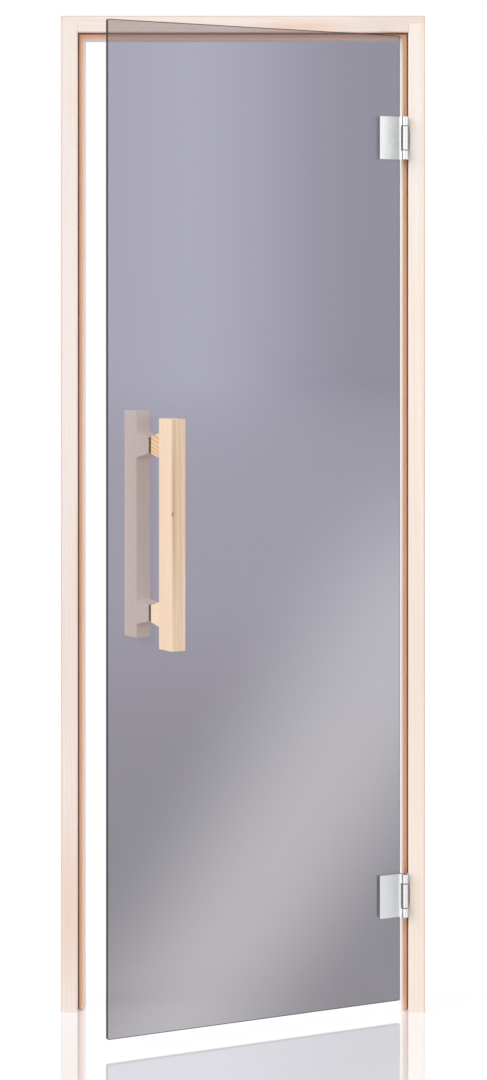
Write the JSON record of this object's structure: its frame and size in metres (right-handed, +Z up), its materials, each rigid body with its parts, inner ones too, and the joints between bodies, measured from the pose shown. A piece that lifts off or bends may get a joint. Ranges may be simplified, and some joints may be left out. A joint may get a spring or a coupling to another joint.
{
  "type": "sauna door",
  "caption": "Frameless tinted glass sauna door with wooden pull handles, hung on glass-clamp hinges in a three-sided timber frame with a rebate seal.",
  "frame": {"origin": "on the hinge jamb's outer side face, at floor level and half way through the frame's depth", "axes": "+X out of the hinge jamb into the wall, +Y from the outer face to the sauna's inside, +Z up"},
  "size_m": [0.69, 0.3931, 1.89],
  "materials": {
    "pine": "planed, unvarnished",
    "handle_wood": "sanded",
    "brown_seal": "satin silicone",
    "grey_glass": "polished, toughened",
    "satin_chrome": "satin",
    "zinc_steel": "zinc plated",
    "pad_rubber": "matt",
    "white_plastic": "matt"
  },
  "bodies": {
    "frame": {"hinge_jamb": "pine", "handle_jamb": "pine", "head": "pine", "corner_screws": "zinc_steel", "hinge_jamb_seal": "brown_seal", "handle_jamb_seal": "brown_seal", "head_seal": "brown_seal", "leaf_screws": "zinc_steel", "lower_hinge_leaf": "satin_chrome", "lower_hinge_pin": "zinc_steel", "upper_hinge_leaf": "satin_chrome", "upper_hinge_pin": "zinc_steel"},
    "door": {"glass_pane": "grey_glass", "outer_handle_bar": "handle_wood", "inner_handle_bar": "handle_wood", "handle_pads": "pad_rubber", "handle_bushes": "white_plastic", "hinge_bushes": "white_plastic", "hinge_washers": "white_plastic", "clamp_screws": "zinc_steel", "outer_lower_handle_post": "handle_wood", "inner_lower_handle_post": "handle_wood", "lower_handle_stud": "zinc_steel", "outer_upper_handle_post": "handle_wood", "inner_upper_handle_post": "handle_wood", "upper_handle_stud": "zinc_steel", "lower_hinge_clamp": "satin_chrome", "lower_hinge_back_plate": "satin_chrome", "lower_hinge_outer_pad": "pad_rubber", "lower_hinge_inner_pad": "pad_rubber", "upper_hinge_clamp": "satin_chrome", "upper_hinge_back_plate": "satin_chrome", "upper_hinge_outer_pad": "pad_rubber", "upper_hinge_inner_pad": "pad_rubber"}
  },
  "joints": [
    {"name": "door_hinge", "type": "hinge", "parent": "frame", "child": "door", "pos_m": [-0.038, -0.0455, 0.94], "axis": [0, 0, 1], "range_deg": [-28.5, 136.5]}
  ]
}
